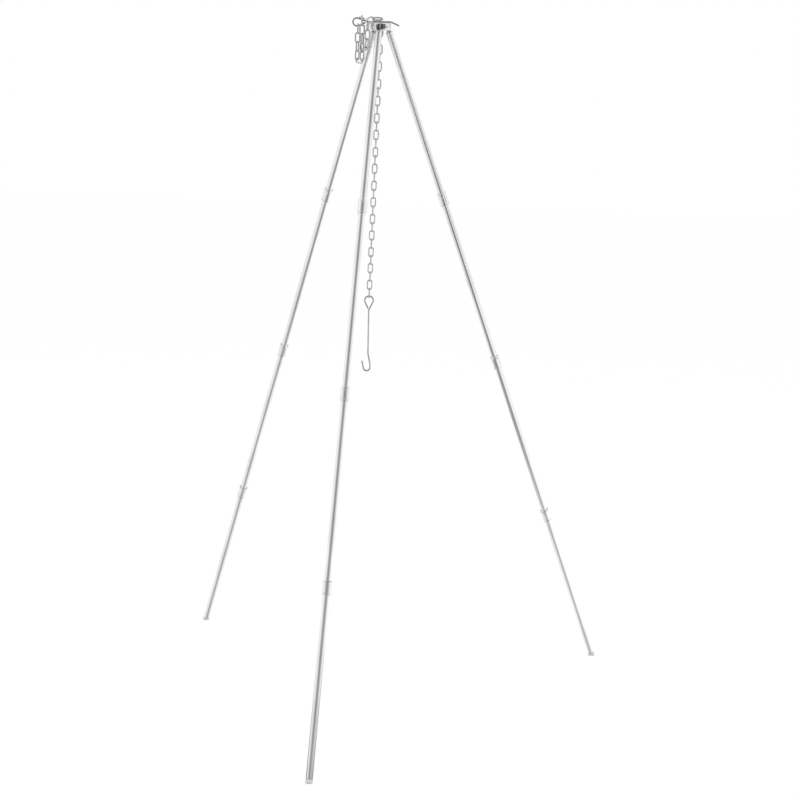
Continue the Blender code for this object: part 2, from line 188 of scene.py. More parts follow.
# The sleeves have painted shade in their neck and shoulder grooves, at these heights from the middle
sleeveMetal = drawnMetal("sleeve_polished_aluminium", {
    "colours": ((0.86, 0.865, 0.87), (0.93, 0.935, 0.94)),
    "roughness": (0.07, 0.13),
    "lineScale": 1400.0,
    "lineStretch": (0.03, 1.0, 1.0),
    "cloudScale": 60.0,
    "depth": 0.00001,
    "grooves": (0.0096, -0.0094),
    "grooveSpan": (0.0004, 0.0009),
    "paintedGrooveShade": (0.50, 0.495, 0.49),
    "grooveShadeShare": 0.4,
})
hubMetal = drawnMetal("hub_turned_aluminium", {
    "colours": ((0.78, 0.785, 0.79), (0.86, 0.865, 0.87)),
    "roughness": (0.05, 0.10),
    "lineScale": 1600.0,
    "lineStretch": (0.03, 1.0, 1.0),
    "cloudScale": 50.0,
    "depth": 0.000004,
})
fittingMetal = platedMetal("fitting_steel", {
    "colours": ((0.52, 0.525, 0.53), (0.62, 0.625, 0.63)),
    "roughness": (0.16, 0.3),
    "mottleScale": 220.0,
    "pitScale": 2600.0,
    "depth": 0.00001,
})
# The tongues in the hub's slots carry painted shade above the hub's lower face, where the slots hide them
tongueMetal = platedMetal("tongue_steel_slot_shade", {
    "colours": ((0.66, 0.665, 0.67), (0.76, 0.765, 0.77)),
    "roughness": (0.16, 0.3),
    "mottleScale": 220.0,
    "pitScale": 2600.0,
    "depth": 0.00001,
    "paintedSlotShade": (0.11, 0.108, 0.105),
    "slotShadeSpan": (hubAxis.z - 0.0002, hubAxis.z + 0.0008),
})
chainMetal = platedMetal("chain_plated_steel", {
    "colours": ((0.58, 0.585, 0.59), (0.70, 0.705, 0.71)),
    "roughness": (0.14, 0.28),
    "mottleScale": 160.0,
    "pitScale": 2200.0,
    "depth": 0.000012,
})
hookMetal = platedMetal("hook_plated_steel", {
    "colours": ((0.50, 0.505, 0.51), (0.60, 0.605, 0.61)),
    "roughness": (0.15, 0.26),
    "mottleScale": 120.0,
    "pitScale": 1800.0,
    "depth": 0.00001,
})
pinMetal = platedMetal("pin_plated_steel", {
    "colours": ((0.40, 0.405, 0.41), (0.49, 0.495, 0.50)),
    "roughness": (0.16, 0.27),
    "mottleScale": 120.0,
    "pitScale": 1800.0,
    "depth": 0.00001,
})


# Foot plugs: pale moulded plastic, scuffed where it meets the ground
def mouldedPlastic(name, settings):
    made, tree, shader, coords = newMaterial(name, settings)
    grain = noise(tree, coords.outputs["Object"], settings, "grain")
    scuffs = noise(tree, coords.outputs["Object"], settings, "scuff")
    low = ramp(tree, axisOf(tree, coords.outputs["Object"], "Z"), (0.0, settings["scuffHeight"]), (1.0, 0.0))
    worn = mathNode(tree, "MULTIPLY", low, ramp(tree, scuffs, settings["scuffSpan"], (0.0, 1.0)))
    tree.links.new(colourMix(tree, worn, *settings["colours"]), shader.inputs["Base Color"])
    rough = ramp(tree, scuffs, settings["roughSpan"], settings["roughness"])
    tree.links.new(rough, shader.inputs["Roughness"])
    addBump(tree, shader, grain, settings)
    return made


plugPlastic = mouldedPlastic("foot_plug_plastic", {
    "metallic": 0.0,
    "colours": ((0.58, 0.58, 0.57), (0.38, 0.37, 0.35)),
    "roughness": (0.42, 0.6),
    "roughSpan": (0.3, 0.7),
    "grainScale": 3800.0,
    "grainDetail": 4.0,
    "scuffScale": 420.0,
    "scuffDetail": 5.0,
    "scuffSpan": (0.45, 0.6),
    "scuffHeight": 0.006,
    "depth": 0.00006,
    "strength": 0.4,
})


# Elastic cord: two crossing sets of braid strands, light flecks in a black sheath
def braidedCord(name, settings):
    made, tree, shader, coords = newMaterial(name, settings)
    waves = []
    for lean in (1.0, -1.0):
        place = tree.nodes.new("ShaderNodeMapping")
        place.inputs["Rotation"].default_value = (0.0, 0.0, lean * math.radians(settings["strandLean"]))
        tree.links.new(coords.outputs["UV"], place.inputs["Vector"])
        wave = tree.nodes.new("ShaderNodeTexWave")
        wave.inputs["Scale"].default_value = settings["strandScale"]
        tree.links.new(place.outputs["Vector"], wave.inputs["Vector"])
        waves.append(wave.outputs["Fac"])
    braid = mathNode(tree, "MAXIMUM", *waves)
    flecks = ramp(tree, braid, settings["strandSpan"], (0.0, 1.0))
    tree.links.new(colourMix(tree, flecks, *settings["colours"]), shader.inputs["Base Color"])
    fuzz = noise(tree, coords.outputs["Object"], settings, "fuzz")
    rough = ramp(tree, fuzz, settings["fuzzSpan"], settings["roughness"])
    tree.links.new(rough, shader.inputs["Roughness"])
    addBump(tree, shader, braid, settings)
    return made


cordSheath = braidedCord("elastic_cord_braid", {
    "metallic": 0.0,
    "colours": ((0.012, 0.012, 0.014), (0.07, 0.07, 0.075)),
    "roughness": (0.65, 0.9),
    "strandScale": 420.0,
    "strandLean": 45.0,
    "strandSpan": (0.5, 1.0),
    "fuzzScale": 3000.0,
    "fuzzDetail": 3.0,
    "fuzzSpan": (0.3, 0.7),
    "depth": 0.0001,
    "strength": 0.8,
})
print("materials made")


# Mesh helpers
def finishPiece(name, mesh, node, material, sharpAngle=32.0):
    mesh.materials.clear()
    mesh.materials.append(material)
    mesh.shade_smooth()
    mesh.set_sharp_from_angle(angle=math.radians(sharpAngle))
    piece = bpy.data.objects.new(name, mesh)
    scene.collection.objects.link(piece)
    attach(piece, bodyOf[node])
    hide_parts(node)


# A turned form from its outline of (radius, distance down the axis)
def spunShape(outline, steps, closed, weldReach=0.0000005):
    shape = bmesh.new()
    ring = [shape.verts.new((radius, 0.0, -drop)) for radius, drop in outline]
    edges = [shape.edges.new(pair) for pair in zip(ring, ring[1:])]
    if closed:
        edges.append(shape.edges.new((ring[-1], ring[0])))
    bmesh.ops.spin(shape, geom=ring + edges, cent=(0.0, 0.0, 0.0), axis=(0.0, 0.0, 1.0),
                   angle=2 * math.pi, steps=steps, use_merge=True)
    bmesh.ops.remove_doubles(shape, verts=shape.verts, dist=weldReach)
    bmesh.ops.recalc_face_normals(shape, faces=shape.faces)
    return shape


# Unrolls the form about its axis: u is the distance round it at the given radius, v the distance along it
def unroll(shape, radius):
    layer = shape.loops.layers.uv.new("unrolled")
    for face in shape.faces:
        middle = face.calc_center_median()
        base = math.atan2(middle.y, middle.x)
        for loop in face.loops:
            turn = math.atan2(loop.vert.co.y, loop.vert.co.x) - base
            turn = (turn + math.pi) % (2 * math.pi) - math.pi
            loop[layer].uv = ((base + turn) * radius, loop.vert.co.z)


def softenEdges(shape, angle, reach, segments):
    folded = [edge for edge in shape.edges if len(edge.link_faces) == 2]
    sharp = [edge for edge in folded if edge.calc_face_angle() > math.radians(angle)]
    bmesh.ops.bevel(shape, geom=sharp, offset=reach, segments=segments, profile=0.5,
                    affect="EDGES", material=-1, clamp_overlap=True)


def toMesh(shape, name, place=Matrix.Identity(4)):
    bmesh.ops.transform(shape, matrix=place, verts=shape.verts)
    mesh = bpy.data.meshes.new(name)
    shape.to_mesh(mesh)
    shape.free()
    return mesh


# An object's mesh with its modifiers or its curve bevel made real; the object is removed
def realMesh(made):
    scene.collection.objects.link(made)
    bpy.context.view_layer.update()
    seen = made.evaluated_get(bpy.context.evaluated_depsgraph_get())
    mesh = bpy.data.meshes.new_from_object(seen)
    bpy.data.objects.remove(made, do_unlink=True)
    return mesh


def newCutter(name, shape, place=Matrix.Identity(4)):
    cutter = bpy.data.objects.new(name, toMesh(shape, name, place))
    scene.collection.objects.link(cutter)
    return cutter


def addBoolean(made, how, cutter):
    step = made.modifiers.new(how, "BOOLEAN")
    step.operation = how
    step.solver = "EXACT"
    step.object = cutter


def removeCutters(*cutters):
    for cutter in cutters:
        bpy.data.objects.remove(cutter, do_unlink=True)


# Round wire along one or more runs of points; the swell is a factor on its radius for each point of a run
def wireMesh(name, runs, radius, sides, closed, swell=None):
    curve = bpy.data.curves.new(name, "CURVE")
    curve.dimensions = "3D"
    curve.bevel_depth = radius
    curve.bevel_resolution = (sides - 4) // 2
    curve.use_fill_caps = not closed
    for run in runs:
        spline = curve.splines.new("POLY")
        spline.points.add(len(run) - 1)
        for i, (point, place) in enumerate(zip(spline.points, run)):
            point.co = (*place, 1.0)
            point.radius = swell[i] if swell else 1.0
        spline.use_cyclic_u = closed
        spline.use_smooth = True
    return realMesh(bpy.data.objects.new(name, curve))


def arcPoints(centre, radius, first, last, count):
    points = []
    for i in range(count):
        turn = math.radians(first + (last - first) * i / (count - 1))
        points.append((centre[0] + radius * math.cos(turn), centre[1] + radius * math.sin(turn)))
    return points


def evenly(first, last, parts):
    return [first + (last - first) * i / parts for i in range(parts + 1)]


# Corners of a bent run, each rounded over the given reach
def roundedRun(points, reach, parts):
    run = [points[0]]
    for before, corner, after in zip(points, points[1:], points[2:]):
        back = before - corner
        on = after - corner
        first = corner + back.normalized() * min(reach, back.length / 2)
        last = corner + on.normalized() * min(reach, on.length / 2)
        for i in range(parts + 1):
            t = i / parts
            run.append(first * (1 - t) ** 2 + corner * 2 * t * (1 - t) + last * t * t)
    run.append(points[-1])
    return run


# Hub: a turned disc with a bore, a slot from below for each leg's tongue, and a hole for each cross pin
hub = {"radius": 0.0175, "height": 0.0125, "bore": 0.0065, "chamfer": 0.0006, "edge": 0.002, "edgePoints": 7,
       "edgeHold": 0.0003, "steps": 96, "slotWidth": 0.0046, "slotInner": 0.0083, "slotTop": 0.0101,
       "slotPast": 0.004, "slotBelow": 0.003, "bevel": 0.00025, "bevelAngle": 40.0, "sharpAngle": 25.0}
pivot = {"fromAxis": 0.0117, "height": 0.006, "radius": 0.0015, "inner": -0.0100, "length": 0.0235,
         "steps": 32, "edge": 0.0004, "edgeSoft": 0.0001, "gap": 0.0003, "holeLength": 0.026,
         "sunk": 0.0001, "rimSteps": 192}
legTilt = math.radians(20.45)
legTurns = {"front": -90.0, "right": 30.0, "left": 150.0}


def aroundHub(turn, radius, height):
    return Matrix.Rotation(math.radians(turn), 4, "Z") @ Matrix.Translation((radius, 0.0, height))


def hubOutline():
    radius, edge, low = hub["radius"], hub["edge"], hub["height"] - hub["edge"]
    bore, chamfer, hold = hub["bore"], hub["chamfer"], hub["edgeHold"]
    upperArc = arcPoints((0.0, 0.0), edge, 90.0, 0.0, hub["edgePoints"])
    lowerArc = arcPoints((0.0, 0.0), edge, 0.0, -90.0, hub["edgePoints"])
    outline = [(bore, chamfer), (bore + chamfer, 0.0)]
    outline += [(radius - edge + x, edge - y) for x, y in upperArc]
    outline += [(radius, edge + hold), (radius, low - hold)]
    outline += [(radius - edge + x, low - y) for x, y in lowerArc]
    outline += [(bore + chamfer, hub["height"]), (bore, hub["height"] - chamfer)]
    return outline


# A rod for a pin's hole, along the place's Y axis
def addDrill(shape, length, place):
    radius = pivot["radius"] + pivot["gap"]
    across = Matrix.Rotation(math.radians(90), 4, "X")
    bmesh.ops.create_cone(shape, cap_ends=True, segments=pivot["steps"], radius1=radius, radius2=radius,
                          depth=length, matrix=place @ across)


def hubCutters():
    slots, drills = bmesh.new(), bmesh.new()
    length = hub["radius"] + hub["slotPast"] - hub["slotInner"]
    depth = hub["slotTop"] + hub["slotBelow"]
    shift = Matrix.Translation((0.0, pivot["inner"] - pivot["gap"] + pivot["holeLength"] / 2, 0.0))
    for turn in legTurns.values():
        slot = bmesh.ops.create_cube(slots, size=1.0)["verts"]
        bmesh.ops.scale(slots, vec=(length, hub["slotWidth"], depth), verts=slot)
        place = aroundHub(turn, hub["slotInner"] + length / 2, hub["slotTop"] - depth / 2)
        bmesh.ops.transform(slots, matrix=place, verts=slot)
        addDrill(drills, pivot["holeLength"], aroundHub(turn, pivot["fromAxis"], pivot["height"]) @ shift)
    return newCutter("slot_cutter", slots), newCutter("drill_cutter", drills)


def buildHub():
    shape = spunShape(hubOutline(), hub["steps"], True)
    body = bpy.data.objects.new("hub", toMesh(shape, "hub", Matrix.Translation((0.0, 0.0, hub["height"]))))
    cutters = hubCutters()
    for cutter in cutters:
        addBoolean(body, "DIFFERENCE", cutter)
    edge = body.modifiers.new("edge", "BEVEL")
    edge.width = hub["bevel"]
    edge.segments = 2
    edge.limit_method = "ANGLE"
    edge.angle_limit = math.radians(hub["bevelAngle"])
    mesh = realMesh(body)
    removeCutters(*cutters)
    shape = bmesh.new()
    shape.from_mesh(mesh)
    unroll(shape, hub["radius"])
    mesh = toMesh(shape, "hub", standing)
    finishPiece("hub_turned_body", mesh, "hub_body", hubMetal, hub["sharpAngle"])


# Cross pins: a rounded inner end, and the outer end filed to the hub's rim
def buildPivotPins():
    rimRadius = hub["radius"] - pivot["sunk"]
    shape = bmesh.new()
    bmesh.ops.create_cone(shape, cap_ends=True, segments=pivot["rimSteps"], radius1=rimRadius,
                          radius2=rimRadius, depth=2 * hub["height"])
    rim = newCutter("rim", shape, Matrix.Translation((0.0, 0.0, hub["height"] / 2)))
    radius, edge, soft = pivot["radius"], pivot["edge"], pivot["edgeSoft"]
    inner, outer = pivot["inner"], pivot["inner"] + pivot["length"]
    outline = [(0.0, -outer), (radius, -outer), (radius, -inner - edge), (radius - soft, -inner - soft),
               (radius - edge, -inner), (0.0, -inner)]
    lying = Matrix.Rotation(math.radians(-90), 4, "X")
    for side, turn in legTurns.items():
        place = aroundHub(turn, pivot["fromAxis"], pivot["height"]) @ lying
        pin = bpy.data.objects.new("pivot", toMesh(spunShape(outline, pivot["steps"], False), "pivot", place))
        addBoolean(pin, "INTERSECT", rim)
        mesh = realMesh(pin)
        mesh.transform(standing)
        finishPiece("pivot_" + side, mesh, "leg_%s_pivot_pin" % side, fittingMetal)
    removeCutters(rim)


buildHub()
buildPivotPins()
print("hub made")

# Legs: distances down a leg's axis from the level of the hub's lower face, with a joint at each mark
leg = {"top": 0.0036, "marks": (0.3072, 0.6240, 0.9411), "end": 1.2440, "gap": 0.0003, "travel": 0.030}
pivotRise = pivot["height"] / math.cos(legTilt)
legRadius = pivot["fromAxis"] + pivot["height"] * math.tan(legTilt)


def legFrame(turn):
    start = Matrix.Translation((legRadius, 0.0, 0.0))
    return standing @ Matrix.Rotation(math.radians(turn), 4, "Z") @ start @ Matrix.Rotation(-legTilt, 4, "Y")


# Tubes: rolled ends, each held in shape by a ring close to it, and rings that divide the straight part
tube = {"radius": 0.00575, "bore": 0.00485, "lip": 0.0003, "lipSoft": 0.00009, "hold": 0.0009, "bands": 24,
        "steps": 48}


def buildTube(side, number, start, end, place):
    radius, bore, lip, soft = tube["radius"], tube["bore"], tube["lip"], tube["lipSoft"]
    outline = [(radius - lip, start), (radius - soft, start + soft), (radius, start + lip)]
    outline += [(radius, drop) for drop in evenly(start + tube["hold"], end - tube["hold"], tube["bands"])]
    outline += [(radius, end - lip), (radius - soft, end - soft), (radius - lip, end)]
    outline += [(bore, end), (bore, start)]
    shape = spunShape(outline, tube["steps"], True)
    unroll(shape, radius)
    name = "%s_tube_%d" % (side, number)
    finishPiece(name, toMesh(shape, name, place), "leg_" + name, tubeMetal)


# Sleeves, as (radius, distance from the nearer end): a rolled mouth with a neck groove, a plain body, an end
# shoulder and a funnel inside the mouth. Three punch marks sit round the body near the mouth
sleeve = {
    "length": 0.024, "radius": 0.00765, "bore": 0.00605, "steps": 72,
    "mouth": ((0.00700, 0.0), (0.00745, 0.0), (0.00775, 0.0001), (0.00788, 0.0004), (0.00790, 0.0008),
              (0.00784, 0.0012), (0.00760, 0.0016), (0.00745, 0.0020), (0.00742, 0.0024), (0.00750, 0.0028),
              (0.00763, 0.0032)),
    "bodyFrom": 0.0034, "bodyTo": 0.0036, "bands": 22,
    "shoulder": ((0.00763, 0.0036), (0.00750, 0.0031), (0.00746, 0.0027), (0.00752, 0.0023),
                 (0.00772, 0.0020), (0.00775, 0.0017), (0.00775, 0.0005), (0.00768, 0.0002), (0.00750, 0.0)),
    "funnel": ((0.00605, 0.0010), (0.00640, 0.0004), (0.00680, 0.0001)),
    "punchTurns": (0.0, 120.0, 240.0), "punchDrop": 0.0062, "punchSize": 0.0015, "punchDepth": 0.055,
    "punchFall": 1.6, "punchReach": 2.5, "outerFrom": 0.0070,
}


def pressPunchMarks(shape, half):
    radius, size = sleeve["radius"], sleeve["punchSize"]
    turns = [math.radians(turn) for turn in sleeve["punchTurns"]]
    height = half - sleeve["punchDrop"]
    spots = [Vector((radius * math.cos(turn), radius * math.sin(turn), height)) for turn in turns]
    outside = [vert for vert in shape.verts if math.hypot(vert.co.x, vert.co.y) >= sleeve["outerFrom"]]
    for vert in outside:
        for spot in spots:
            away = (vert.co - spot).length / size
            if away < sleeve["punchReach"]:
                vert.co.xy *= 1 - sleeve["punchDepth"] * math.exp(-away * away * sleeve["punchFall"])


def buildSleeve(side, number, place):
    half = sleeve["length"] / 2
    body = evenly(-half + sleeve["bodyFrom"], half - sleeve["bodyTo"], sleeve["bands"])[1:-1]
    outline = [(radius, -half + drop) for radius, drop in sleeve["mouth"]]
    outline += [(sleeve["radius"], drop) for drop in body]
    outline += [(radius, half - drop) for radius, drop in sleeve["shoulder"]]
    outline.append((sleeve["bore"], half))
    outline += [(radius, -half + drop) for radius, drop in sleeve["funnel"]]
    shape = spunShape(outline, sleeve["steps"], True)
    pressPunchMarks(shape, half)
    bmesh.ops.recalc_face_normals(shape, faces=shape.faces)
    unroll(shape, sleeve["radius"])
    name = "%s_sleeve_%d" % (side, number)
    finishPiece(name, toMesh(shape, name, place), "leg_" + name, sleeveMetal)


# Top plugs, as (radius, distance below the tube's end): a flange, a spigot inside the tube and a hole for the
# cord, with a flat drilled tongue that goes up into the hub's slot
topPlug = {
    "flange": ((0.0, -0.0015), (0.00500, -0.0015), (0.00545, -0.0014), (0.00570, -0.0011), (0.00575, -0.0008),
               (0.00575, -0.0003)),
    "spigot": ((0.00455, -0.0003), (0.00455, 0.0112), (0.00405, 0.0120)),
    "cordHole": ((0.0017, 0.0120), (0.0017, 0.0050), (0.0, 0.0050)),
    "steps": 48, "tongueRadius": 0.0034, "tongueThickness": 0.004, "tongueFoot": 0.0010, "tonguePoints": 25,
    "tongueEdge": 0.0003, "edgeAngle": 60.0, "drillLength": 0.01, "sharpAngle": 28.0,
}


def tongueShape(foot):
    radius, half = topPlug["tongueRadius"], topPlug["tongueThickness"] / 2
    corners = arcPoints((0.0, 0.0), radius, 0.0, 180.0, topPlug["tonguePoints"])
    corners += [(-radius, foot), (radius, foot)]
    shape = bmesh.new()
    face = shape.faces.new([shape.verts.new((x, -half, z)) for x, z in corners])
    pulled = bmesh.ops.extrude_face_region(shape, geom=[face])["geom"]
    moved = [item for item in pulled if isinstance(item, bmesh.types.BMVert)]
    bmesh.ops.translate(shape, vec=(0.0, 2 * half, 0.0), verts=moved)
    bmesh.ops.recalc_face_normals(shape, faces=shape.faces)
    softenEdges(shape, topPlug["edgeAngle"], topPlug["tongueEdge"], 2)
    return shape


# A top plug is made with its pivot at the origin
def buildTopPlug(side, place):
    shift = leg["top"] + pivotRise
    outline = [*topPlug["flange"], *topPlug["spigot"], *topPlug["cordHole"]]
    shape = spunShape([(radius, drop + shift) for radius, drop in outline], topPlug["steps"], False)
    plug = bpy.data.objects.new("plug", toMesh(shape, "plug"))
    tongue = newCutter("tongue", tongueShape(topPlug["tongueFoot"] - shift))
    shape = bmesh.new()
    addDrill(shape, topPlug["drillLength"], Matrix.Identity(4))
    drill = newCutter("drill", shape)
    addBoolean(plug, "UNION", tongue)
    addBoolean(plug, "DIFFERENCE", drill)
    mesh = realMesh(plug)
    removeCutters(tongue, drill)
    mesh.transform(place)
    finishPiece(side + "_top_fitting", mesh, "leg_%s_top_plug" % side, tongueMetal,
                topPlug["sharpAngle"])


# Foot plugs, as (radius, distance below the tube's end), cut flat where they stand on the ground
footPlug = {
    "cordHole": ((0.0, -0.0100), (0.0017, -0.0100), (0.0017, -0.0160)),
    "spigot": ((0.00415, -0.0160), (0.00455, -0.0156), (0.00455, 0.0003)),
    "shoulder": ((0.00575, 0.0003), (0.00590, 0.0004), (0.00598, 0.0006), (0.00600, 0.0009)),
    "radius": 0.00600, "sideFrom": 0.0009, "sideTo": 0.0048, "bands": 4,
    "dome": ((0.00592, 0.0056), (0.00575, 0.0063), (0.00550, 0.0070), (0.00510, 0.0076), (0.00460, 0.0081),
             (0.00400, 0.0085), (0.00300, 0.0088), (0.00150, 0.0091), (0.0, 0.0092)),
    "steps": 48, "groundCut": 0.00001,
}


def buildFootPlug(side, place):
    sides = evenly(footPlug["sideFrom"], footPlug["sideTo"], footPlug["bands"])[1:]
    outline = [*footPlug["cordHole"], *footPlug["spigot"], *footPlug["shoulder"]]
    outline += [(footPlug["radius"], drop) for drop in sides] + [*footPlug["dome"]]
    shape = spunShape(outline, footPlug["steps"], False)
    bmesh.ops.transform(shape, matrix=place, verts=shape.verts)
    everything = list(shape.verts) + list(shape.edges) + list(shape.faces)
    bmesh.ops.bisect_plane(shape, geom=everything, plane_co=(0.0, 0.0, footPlug["groundCut"]),
                           plane_no=(0.0, 0.0, -1.0), clear_outer=True)
    bmesh.ops.contextual_create(shape, geom=[edge for edge in shape.edges if edge.is_boundary])
    bmesh.ops.recalc_face_normals(shape, faces=shape.faces)
    finishPiece(side + "_foot", toMesh(shape, "foot"), "leg_%s_foot_plug" % side, plugPlastic)


# Elastic cord: a length for each tube, with room at both plugs and a cut below each joint's full travel
cord = {"radius": 0.0014, "endSoft": 0.00028, "steps": 16, "topRoom": 0.0053, "footRoom": 0.0103,
        "cutFrom": 0.0100, "cutTo": 0.0105}


def buildCord(side, number, start, end, place):
    radius, soft = cord["radius"], cord["endSoft"]
    outline = [(0.0, start), (radius - soft, start), (radius, start + soft),
               (radius, end - soft), (radius - soft, end), (0.0, end)]
    shape = spunShape(outline, cord["steps"], False)
    unroll(shape, radius)
    name = "%s_cord_%d" % (side, number)
    finishPiece(name, toMesh(shape, name, place), "leg_" + name, cordSheath)


def buildLeg(side, turn):
    place = legFrame(turn)
    marks, travel = leg["marks"], leg["travel"]
    starts = [leg["top"]] + [mark + leg["gap"] for mark in marks]
    ends = [mark - leg["gap"] for mark in marks] + [leg["end"]]
    cordStarts = [leg["top"] + cord["topRoom"]] + [mark + travel + cord["cutTo"] for mark in marks]
    cordEnds = [mark + travel + cord["cutFrom"] for mark in marks] + [leg["end"] - cord["footRoom"]]
    for i in range(len(starts)):
        buildTube(side, i + 1, starts[i], ends[i], place)
        buildCord(side, i + 1, cordStarts[i], cordEnds[i], place)
        if i < len(marks):
            buildSleeve(side, i + 1, place @ Matrix.Translation((0.0, 0.0, -marks[i])))
    buildTopPlug(side, place @ Matrix.Translation((0.0, 0.0, pivotRise)))
    buildFootPlug(side, place @ Matrix.Translation((0.0, 0.0, -leg["end"])))


for side, turn in legTurns.items():
    buildLeg(side, turn)
print("legs made")

# Bent wire of the locking pin and the hook
bentWire = {"radius": 0.0014, "sides": 20, "clearance": 0.0003, "eyePoints": 49, "cornerReach": 0.0022,
            "cornerParts": 8, "endAngle": 60.0, "endReach": 0.0004, "sharpAngle": 50.0}
# The pin's rod lies over the bore, and its places are measured from there
lockingPin = {"turn": 15.0, "neck": (-0.0220, 0.0, 0.0), "eye": (-0.0406, 0.0, -0.0008), "eyeRadius": 0.0066,
              "closing": 0.25, "shank": ((-0.0220, 0.0, 0.0), (0.0174, 0.0, 0.0), (0.0314, 0.0, -0.0062))}
# Links of the chain: joined ones bite into each other, loose ones have a free gap
chain = {"wire": 0.0025, "sides": 12, "length": 0.0192, "width": 0.0102, "gap": 0.0004, "bite": 0.00045,
         "hanging": 33, "top": 4, "group": 4, "groups": 7, "lean": 1.555, "topSlack": 0.0002, "bendParts": 12,
         "sideParts": 8, "weldSwell": 0.09, "weldReach": 0.0009, "sharpAngle": 60.0}
linkHalf = (chain["length"] - chain["wire"]) / 2
linkRound = (chain["width"] - chain["wire"]) / 2
loose = chain["wire"] + chain["gap"]
joined = chain["wire"] - chain["bite"]
linkStep = 2 * linkHalf - joined
seat = bentWire["radius"] + chain["wire"] / 2 + bentWire["clearance"]
rodPlace = Matrix.Translation((0.0, 0.0, hub["height"] + bentWire["radius"] + bentWire["clearance"]))
pinFrame = standing @ rodPlace @ Matrix.Rotation(math.radians(lockingPin["turn"]), 4, "Z")
down = (0.0, 0.0, -1.0)


# One link: its centre, its long axis, the direction across it, and the middles of its two end bends
def newLink(centre, along, across):
    along = Vector(along).normalized()
    across = Vector(across)
    across = (across - along * across.dot(along)).normalized()
    centre = Vector(centre)
    return {"centre": centre, "along": along, "across": across,
            "end": centre + along * linkHalf, "start": centre - along * linkHalf}


# The next link hooks through this one's end, a quarter turn on, or a little more with a twist
def follow(link, along, contact, twist=0.0):
    along = Vector(along).normalized()
    bend = link["along"].rotation_difference(along)
    across = bend @ link["along"].cross(link["across"])
    across = Matrix.Rotation(math.radians(twist), 3, along) @ across
    reach = link["across"].cross(across).normalized()
    if reach.dot(link["along"] + along) < 0:
        reach = -reach
    return newLink(link["end"] - reach * contact + along * linkHalf, along, across)


# Links from top to bottom, each a quarter turn on, twisted a little so that the last one has its own turn
def straightRun(top, bottom, count, first, last):
    along = (bottom - top).normalized()
    step = ((bottom - top).length - 2 * linkHalf) / (count - 1)
    twist = ((last - first - 90 * (count - 1) + 90) % 180 - 90) / (count - 1)
    run = []
    for i in range(count):
        turn = math.radians(first + i * (90 + twist))
        run.append(newLink(top + along * (linkHalf + step * i), along, (math.cos(turn), math.sin(turn), 0.0)))
    return run


# Where two strands end that hang from the first and second place and lean in to the span between them
def lowerEnds(first, second, counts, span):
    gap = Vector((second.x - first.x, second.y - first.y, 0.0))
    lean = (gap.length - span) / 2
    gap.normalize()
    ends = []
    for top, count, way in zip((first, second), counts, (1, -1)):
        reach = 2 * linkHalf + (count - 1) * linkStep
        low = top + gap * lean * way
        low.z -= math.sqrt(reach * reach - lean * lean)
        ends.append(low)
    middle = (ends[0] + ends[1]) / 2
    half = (ends[1] - ends[0]).normalized() * span / 2
    return middle - half, middle + half


def heading(vector):
    return math.degrees(math.atan2(vector.y, vector.x))


# The wire's run round a link, and how much it swells at the butt weld on one long side
def linkRun(link):
    run, swell = [], []
    straight = linkHalf - linkRound
    for side in (1, -1):
        for turn in evenly(-90, 90, chain["bendParts"]):
            reach = straight + linkRound * math.cos(math.radians(turn))
            out = linkRound * math.sin(math.radians(turn))
            run.append(link["centre"] + (link["along"] * reach + link["across"] * out) * side)
            swell.append(1.0)
        for reach in evenly(straight, -straight, chain["sideParts"])[1:-1]:
            run.append(link["centre"] + (link["along"] * reach + link["across"] * linkRound) * side)
            weld = chain["weldSwell"] * math.exp(-((reach / chain["weldReach"]) ** 2))
            swell.append(1.0 + (weld if side == 1 else 0.0))
    return run, swell


def buildChain(name, node, links):
    runs, swells = zip(*[linkRun(link) for link in links])
    mesh = wireMesh(name, runs, chain["wire"] / 2, chain["sides"], True, swells[0])
    mesh.transform(pinFrame)
    finishPiece(name, mesh, node, chainMetal, chain["sharpAngle"])


# The hanging part starts with the link on the rod and leans below the second
def layHanging():
    lean = math.radians(chain["lean"])
    leanWay = (-math.sin(lean), 0.0, -math.cos(lean))
    links = [newLink((0.0, 0.0, seat + loose + chain["topSlack"] - linkHalf), down, (0.0, 1.0, 0.0))]
    links.append(follow(links[0], down, joined))
    while len(links) < chain["hanging"]:
        newGroup = len(links) % chain["group"] == 0 and len(links) < chain["hanging"] - 1
        links.append(follow(links[-1], leanWay, loose if newGroup else joined))
    return links


# Spare chain: one link over the rod and one beside the hub, one over the eye's upper wire, and two loops
spare = {"sideLean": 62.0, "slack": 0.00005, "besideWay": (-0.83, -0.66, -0.41), "besideTwist": -6.0,
         "innerTwist": -8.0, "overEye": 0.0328, "eyeSlide": 0.0019, "eyeSlack": 0.0003,
         "outerCounts": (4, 5), "innerCounts": (4, 3)}
pinNeck = Vector(lockingPin["neck"])
pinEye = Vector(lockingPin["eye"])


# The links over the rod and beside the hub, and the place of the inner loop's first link after them
def layOverRod():
    sideLean = math.radians(spare["sideLean"])
    leaning = Vector((0.0, -math.sin(sideLean), math.cos(sideLean)))
    centre = Vector((loose - linkHalf, 0.0, seat + spare["slack"])) + leaning * linkRound
    overRod = newLink(centre, (-1.0, 0.0, 0.0), leaning)
    beside = follow(overRod, spare["besideWay"], joined, spare["besideTwist"])
    return [overRod, beside], follow(beside, down, loose, spare["innerTwist"])


